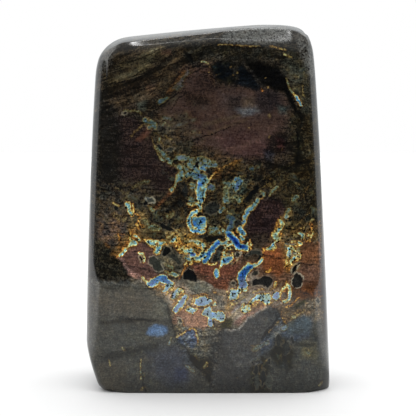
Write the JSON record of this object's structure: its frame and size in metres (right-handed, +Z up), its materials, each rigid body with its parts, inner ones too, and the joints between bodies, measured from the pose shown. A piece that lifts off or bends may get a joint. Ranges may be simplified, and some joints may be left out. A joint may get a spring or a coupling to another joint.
{
  "type": "labradorite freeform",
  "caption": "Polished freestanding slab of labradorite with rounded corners, a flat sawn base and a coloured flash across its front face.",
  "frame": {"origin": "centre of the footprint's bounding box, on the surface that the stone stands on", "axes": "+Z up, +X to the right seen from the front, +Y from the front face towards the back"},
  "size_m": [0.0996, 0.052, 0.1482],
  "materials": {
    "labradorite": "polished"
  },
  "bodies": {
    "root": {"stone": "labradorite"}
  },
  "joints": []
}
